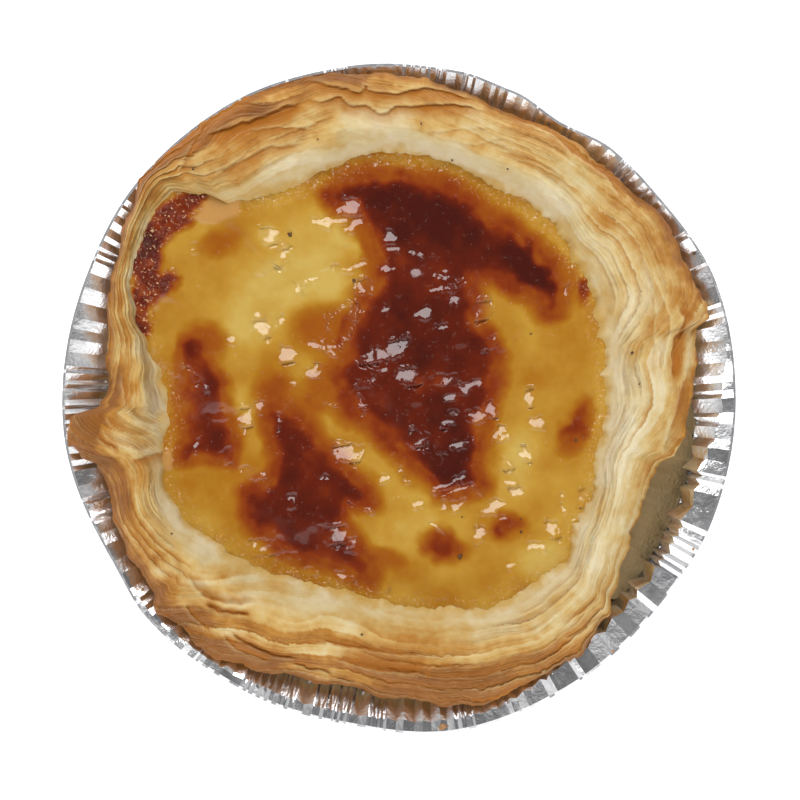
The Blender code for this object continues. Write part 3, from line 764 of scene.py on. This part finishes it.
def pleat_folds():
    """Angles of the case's folds, unevenly spaced, and how far each stands in or out by turns."""
    turn, folds, sides = 0.0, [], []
    while turn < LAST_FOLD:
        index = len(folds)
        folds.append(turn)
        sides.append((1 if index % 2 else -1) * (0.35 + 0.9 * draw(index, 5, 1)))
        wide = draw(index // 2, 9, 2)
        packed = sum(between(turn, *where) for where in PLEATS_PACKED)
        pitch = 0.5 + 1.0 * draw(index, 7, 3) + (1.8 * wide if wide > 0.6 else 0)
        turn += pitch * (1 - PLEATS_CLOSER * packed)
    pairs = len(folds) // 2 * 2
    return np.array(folds[:pairs]), np.array(sides[:pairs])


def foil_piece():
    """The case as flat facets between sharp pleats of uneven width."""
    folds, sides = pleat_folds()
    part = np.arange(FACET_PARTS)[:, None]
    turns = (folds + (np.append(folds[1:], 360) - folds) * part / FACET_PARTS).T.ravel()
    pleat = (sides + (np.roll(sides, -1) - sides) * part / FACET_PARTS).T.ravel()
    rim = around(FOIL_RIM_RADIUS, turns)
    top_radius, top_height = FOIL_WALL_TOP
    base = FOIL_THICKNESS / 2
    rings = [ring(FOIL_BASE_RADIUS * 0.5, base, turns), ring(FOIL_BASE_RADIUS, base, turns)]
    for share in np.linspace(0, 1, 9):
        height = FOIL_CORNER[1] + (top_height - FOIL_CORNER[1]) * share
        rings.append(ring(foil_wall_radius(height) + pleat * (0.2 + 0.4 * share), height, turns))
    lean = 0.5 * drift(turns, 9, 0, 131)
    level = around(FOIL_LEVEL_FROM, turns)
    bead, drop = FOIL_BEAD
    for share in np.linspace(0.1, 1, 12):
        radius = top_radius + (rim - bead - top_radius) * share + pleat * 0.6 * (1 - share)
        height = top_height + (FOIL_RIM_HEIGHT - top_height) * np.minimum(1, share / level) - pleat * 0.16
        crumple = 0.012 * rough(*plan(radius, turns), 0.9, 141, 2)
        rings.append(ring(radius, height + crumple, turns + lean * share))
    rings.append(ring(rim, height - drop, turns + lean))
    piece = mesh_of("foil", rings, {}, (base, None))
    piece.data.shade_flat()
    sheet = piece.modifiers.new("sheet", "SOLIDIFY")
    sheet.thickness = FOIL_THICKNESS * MM
    sheet.offset = 0
    return piece


def linear(red, green, blue):
    """A colour as the photo shows it, from 0 to 255, in Blender's linear values."""
    return tuple(
        (value / 255 / 12.92 if value <= 10 else ((value / 255 + 0.055) / 1.055) ** 2.4)
        for value in (red, green, blue)
    )


class Nodes:
    """Short calls to build the node tree of a material or a world."""

    def __init__(self, owner):
        owner.use_nodes = True
        self.owner = owner
        self.tree = owner.node_tree

    def add(self, kind, inputs=None, **settings):
        node = self.tree.nodes.new(kind)
        for key, value in settings.items():
            setattr(node, key, value)
        self.feed(node, inputs or {})
        return node

    def feed(self, node, inputs):
        """Sets a node's inputs, by name or number; an output given as the value is linked."""
        for key, value in inputs.items():
            if isinstance(value, bpy.types.NodeSocket):
                self.tree.links.new(value, node.inputs[key])
            else:
                node.inputs[key].default_value = value

    def surface(self, inputs):
        self.feed(self.tree.nodes["Principled BSDF"], inputs)
        return self.owner

    def value(self, name):
        return self.add("ShaderNodeAttribute", attribute_name=name).outputs["Fac"]

    def math(self, operation, *values, clamp=False):
        node = self.add("ShaderNodeMath", dict(enumerate(values)), operation=operation, use_clamp=clamp)
        return node.outputs[0]

    def plus(self, first, second):
        return self.math("ADD", first, second)

    def minus(self, first, second, clamp=False):
        return self.math("SUBTRACT", first, second, clamp=clamp)

    def times(self, first, second, clamp=False):
        return self.math("MULTIPLY", first, second, clamp=clamp)

    def above(self, value, start, gain):
        """0 up to the start, then rising by gain to 1 at most."""
        return self.times(self.minus(value, start), gain, True)

    def sway(self, value, noise, much):
        """The value moved up and down by noise."""
        return self.plus(value, self.times(self.minus(noise, 0.5), much))

    def place(self, system="Object"):
        return self.add("ShaderNodeTexCoord").outputs[system]

    def noise(self, scale, detail=3.0):
        """Noise with about scale hills to the metre."""
        inputs = {"Vector": self.place(), "Scale": scale, "Detail": detail, "Roughness": 0.55}
        return self.add("ShaderNodeTexNoise", inputs).outputs["Fac"]

    def ramp(self, factor, stops):
        node = self.add("ShaderNodeValToRGB", {"Fac": factor})
        elements = node.color_ramp.elements
        while len(elements) < len(stops):
            elements.new(0.5)
        for element, (place, colour) in zip(elements, stops):
            element.position = place
            element.color = (*colour, 1)
        return node.outputs["Color"]

    def mix(self, factor, first, second):
        inputs = {0: factor}
        for number, colour in ((6, first), (7, second)):
            inputs[number] = colour if isinstance(colour, bpy.types.NodeSocket) else (*colour, 1)
        return self.add("ShaderNodeMix", inputs, data_type="RGBA").outputs[2]

    def bump(self, height, strength, distance, **more):
        inputs = {"Height": height, "Strength": strength, "Distance": distance, **more}
        return self.add("ShaderNodeBump", inputs).outputs["Normal"]

    def parts(self, vector):
        return self.add("ShaderNodeSeparateXYZ", {"Vector": vector}).outputs

    def share(self, value, low, high, shape="LINEAR"):
        """How far the value is from low to high, from 0 to 1."""
        inputs = {"Value": value, "From Min": low, "From Max": high}
        return self.add("ShaderNodeMapRange", inputs, interpolation_type=shape).outputs[0]


def thin_leaves(nodes):
    """Thin leaves between the larger ones: how far across its leaf each place is, and how much it shows.

    Each leaf has a number, and shows along part of its way.
    """
    ripple = nodes.plus(nodes.times(nodes.noise(210, 2), 2.2), nodes.times(nodes.noise(2400), 0.45))
    count = nodes.plus(nodes.times(nodes.value("leaf"), LEAVES_PER_LAYER), ripple)
    course = nodes.times(nodes.math("FLOOR", count), 3.71)
    inputs = {"Vector": nodes.place(), "W": course, "Scale": 190.0, "Detail": 2.0}
    shown = nodes.add("ShaderNodeTexNoise", inputs, noise_dimensions="4D").outputs["Fac"]
    return nodes.math("FRACT", count), nodes.times(nodes.above(shown, 0.44, 6.0), nodes.value("leafy"))


def pastry_material():
    nodes = Nodes(bpy.data.materials.new("baked_pastry"))
    # The pale attribute is a painted highlight along the leaves' lips, which also lowers the bake there
    fine, pale = nodes.noise(900), nodes.value("pale")
    bake = nodes.sway(nodes.value("bake"), nodes.noise(160), 0.28)
    bake = nodes.minus(nodes.sway(bake, fine, 0.16), nodes.times(pale, 0.12))
    colour = nodes.ramp(bake, [
        (0.0, linear(230, 216, 180)), (0.18, linear(221, 201, 152)), (0.38, linear(210, 175, 108)),
        (0.58, linear(188, 133, 57)), (0.78, linear(157, 99, 35)), (1.0, linear(122, 70, 26)),
    ])
    # Browner colour of the painted shade under each thin leaf
    under_leaf_shade_colour = nodes.ramp(bake, [
        (0.1, linear(204, 172, 108)), (0.4, linear(182, 130, 58)), (0.8, linear(138, 80, 28)),
    ])
    # Crevices: browning with painted shade, browner where the rim is baked browner
    crevice_shade_share = nodes.times(nodes.value("crevice_browning_and_shade"), nodes.plus(nodes.times(bake, 0.9), 0.4))
    within, shown = thin_leaves(nodes)
    # Under each thin leaf's edge a painted shade, and along the edge itself a painted highlight
    under_leaf_shade = nodes.times(nodes.above(within, 0.62, 2.6), shown)
    edge = nodes.times(nodes.times(nodes.minus(0.22, within), 4.5, True), shown)
    for share, over in (
        # Pale lips: painted highlight
        (nodes.times(pale, 0.45, True), linear(226, 202, 150)),
        (nodes.times(crevice_shade_share, 0.90, True), linear(174, 108, 38)),
        (nodes.times(under_leaf_shade, 0.62), under_leaf_shade_colour),
        (nodes.times(edge, 0.40), linear(232, 210, 162)),
        (nodes.times(nodes.value("glaze"), 0.75, True), linear(205, 162, 70)),
        (nodes.times(nodes.value("shade"), 0.8), linear(150, 122, 84)),
    ):
        colour = nodes.mix(share, colour, over)
    leaves = nodes.bump(nodes.times(nodes.minus(1.0, within), shown), 0.8, 0.00022)
    return nodes.surface({
        "Base Color": colour,
        "Roughness": nodes.plus(0.42, nodes.times(fine, 0.2)),
        "Specular IOR Level": 0.12,
        "Subsurface Weight": 0.15,
        "Subsurface Scale": 0.0012,
        "Subsurface Radius": (1.0, 0.6, 0.3),
        "Normal": nodes.bump(nodes.noise(2600, 5), 0.7, 0.0001, Normal=leaves),
    })


def custard_material():
    """Glossy skin over custard: the coat is pitted, most of all in the froth, where pale specks are painted
    highlights, and scraps lie on it dry.
    """
    nodes = Nodes(bpy.data.materials.new("baked_custard"))
    froth, scrap = nodes.value("froth"), nodes.value("scrap")
    scorch = nodes.sway(nodes.value("scorch"), nodes.noise(260), 0.07)
    colour = nodes.ramp(nodes.sway(scorch, nodes.noise(1300), 0.06), [
        (0.0, linear(203, 171, 88)), (0.14, linear(191, 146, 54)), (0.28, linear(172, 115, 27)),
        (0.42, linear(158, 86, 18)), (0.58, linear(134, 52, 14)), (0.76, linear(101, 31, 12)),
        (1.0, linear(72, 22, 13)),
    ])
    # Pale specks in the froth: painted highlights of tiny bubbles
    bubbles = nodes.times(nodes.above(nodes.noise(3000, 2), 0.60, 9.0), froth)
    colour = nodes.mix(bubbles, colour, linear(226, 184, 140))
    even = nodes.minus(0.64, nodes.times(froth, 0.26))
    pits = nodes.times(nodes.minus(nodes.noise(1500, 2), even, True), 3.0)
    return nodes.surface({
        "Base Color": nodes.mix(scrap, colour, linear(192, 144, 82)),
        "Roughness": 0.5,
        "Specular IOR Level": 0.0,
        "Coat Weight": nodes.minus(1.0, nodes.times(scrap, 0.7)),
        "Coat Roughness": 0.08,
        "Coat IOR": 1.42,
        "Coat Normal": nodes.bump(pits, 1.0, 0.0005),
        "Subsurface Weight": 0.2,
        "Subsurface Scale": 0.0015,
        "Subsurface Radius": (1.0, 0.5, 0.15),
    })


def foil_material():
    """Bright on the side that faces up; a darker colour, painted shade, on the one that faces down."""
    nodes = Nodes(bpy.data.materials.new("crimped_foil"))
    bright = nodes.ramp(nodes.noise(300), [(0.3, linear(222, 222, 224)), (0.7, linear(240, 240, 241))])
    # Painted shade: the faces that point down get a darker colour
    shaded_underside = nodes.ramp(nodes.noise(500, 4), [(0.35, linear(138, 139, 142)), (0.65, linear(176, 177, 180))])
    facing = nodes.parts(nodes.add("ShaderNodeNewGeometry").outputs["True Normal"])
    return nodes.surface({
        "Base Color": nodes.mix(nodes.share(facing["Z"], -0.2, 0.05), shaded_underside, bright),
        "Metallic": 1.0,
        "Roughness": nodes.plus(0.14, nodes.times(nodes.noise(700), 0.16)),
        "Normal": nodes.bump(nodes.noise(2200), 0.5, 0.00006),
    })


def bit_material(name, dark, light):
    nodes = Nodes(bpy.data.materials.new(name))
    colour = nodes.ramp(nodes.noise(2000), [(0.3, linear(*dark)), (0.7, linear(*light))])
    return nodes.surface({"Base Color": colour, "Roughness": 0.6})


def surface_height(x, y):
    """Height of the tart's smooth form at a place on the custard, the rim or the flange."""
    turn, radius = math.degrees(math.atan2(y, x)), math.hypot(x, y)
    inner, outer = float(around(CUSTARD_EDGE_RADIUS, turn)), float(around(PASTRY_EDGE_RADIUS, turn))
    if radius < inner:
        return float(custard_height(np.array(x), np.array(y), turn, radius / inner))
    if radius < outer:
        return float(rim_height((radius - inner) / (outer - inner), turn)) + 0.1
    return float(foil_flange_height(radius, turn)) + 0.1


def bits_piece(name, bits, tall, dark, light):
    """Small bits with uneven outlines that lie on the tart or the case, joined in one mesh."""
    places, faces = [], []
    corners = 9
    for column, row, size in bits:
        x, y = at(column, row)
        base = surface_height(x, y)
        start = len(places)
        for level, wide in ((-0.3, 1.0), (0.4, 0.95), (1.0, 0.55)):
            for corner in range(corners):
                angle = math.radians(corner * 360 / corners)
                reach = size * wide * (0.6 + 0.8 * float(draw(corner, column, row)))
                height = base + level * tall * size
                places.append((x + reach * math.cos(angle), y + reach * math.sin(angle), height))
        for level in range(2):
            for corner in range(corners):
                here = start + level * corners + corner
                after = start + level * corners + (corner + 1) % corners
                faces.append((here, after, after + corners, here + corners))
        faces.append(tuple(start + 2 * corners + corner for corner in range(corners)))
        faces.append(tuple(start + corners - 1 - corner for corner in range(corners)))
    mesh = bpy.data.meshes.new(name)
    mesh.from_pydata([tuple(value * MM for value in place) for place in places], [], faces)
    mesh.materials.append(bit_material(name + "_baked", dark, light))
    return in_scene(name, mesh)


def dress(piece, material, node):
    piece.data.materials.append(material)
    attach(piece, "root")
    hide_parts(node)


def lamp(name, azimuth, zenith, distance, size, power):
    """A square softbox that points at the tart. Its distance and size are in metres, its power in watts."""
    light = bpy.data.lights.new(name, "AREA")
    light.shape = "RECTANGLE"
    light.size = light.size_y = size
    light.energy = power
    placed = in_scene(name, light)
    turn, tilt = math.radians(azimuth), math.radians(zenith)
    reach = distance * math.sin(tilt)
    placed.location = (reach * math.cos(turn), reach * math.sin(turn), distance * math.cos(tilt))
    placed.rotation_euler = (tilt, 0, turn + math.pi / 2)


def studio_world():
    """Dim overhead and low down, with pale panels round the sides that show in the foil."""
    nodes = Nodes(bpy.data.worlds.new("studio"))
    way = nodes.parts(nodes.place("Generated"))
    round_share = nodes.share(nodes.math("ARCTAN2", way["Y"], way["X"]), -math.pi, math.pi)
    panels = nodes.ramp(round_share, [(place, (much, much, much)) for place, much in PANELS])
    # The brighter a panel is, the higher it reaches
    lowered = nodes.math("MULTIPLY_ADD", panels, -0.10, way["Z"])
    colour = nodes.mix(nodes.share(lowered, 0.62, 0.85, "SMOOTHSTEP"), panels, (0.14, 0.14, 0.14))
    colour = nodes.mix(nodes.share(way["Z"], 0.30, 0.45), (0.32, 0.32, 0.33), colour)
    nodes.feed(nodes.tree.nodes["Background"], {"Color": colour})
    bpy.context.scene.world = nodes.owner


def stage():
    bpy.ops.mesh.primitive_plane_add(size=FLOOR_SIZE, location=(0, 0, -FLOOR_CLEARANCE))
    floor = bpy.context.object
    floor.name = "floor"
    nodes = Nodes(bpy.data.materials.new("floor_card"))
    floor.data.materials.append(nodes.surface({
        "Base Color": (0.93, 0.93, 0.93, 1),
        "Roughness": 0.9,
        "Specular IOR Level": 0.1,
        "Emission Color": (1, 1, 1, 1),
        "Emission Strength": FLOOR_GLOW,
    }))
    studio_world()
    lamp("key", azimuth=LAMP_AZIMUTH, zenith=37, distance=1.2, size=0.54, power=8.7)
    lamp("fill", azimuth=280, zenith=62, distance=1.3, size=2.0, power=11.8)


def camera():
    lens = bpy.data.cameras.new("camera")
    lens.sensor_width = SENSOR_WIDTH
    lens.lens = SENSOR_WIDTH * CAMERA_DISTANCE / (PHOTO_WIDTH * PIXEL)
    lens.clip_end = 10
    placed = in_scene("camera", lens)
    middle_x, middle_y = at(PHOTO_WIDTH / 2, PHOTO_WIDTH / 2)
    placed.location = (middle_x * MM, middle_y * MM, (CAMERA_DISTANCE + SCALE_HEIGHT) * MM)
    bpy.context.scene.camera = placed


def main():
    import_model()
    dress(foil_piece(), foil_material(), "foil_case")
    dress(pastry_piece(), pastry_material(), "pastry_shell")
    dress(custard_piece(), custard_material(), "custard")
    specks = bits_piece("specks", SPECKS, tall=0.9, dark=(60, 42, 28), light=(104, 72, 38))
    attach(specks, "root")
    crumbs = bits_piece("crumbs", CRUMBS, tall=1.0, dark=(150, 104, 62), light=(192, 150, 100))
    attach(crumbs, "root")
    stage()
    camera()
    bpy.context.scene.view_settings.view_transform = "Standard"


main()
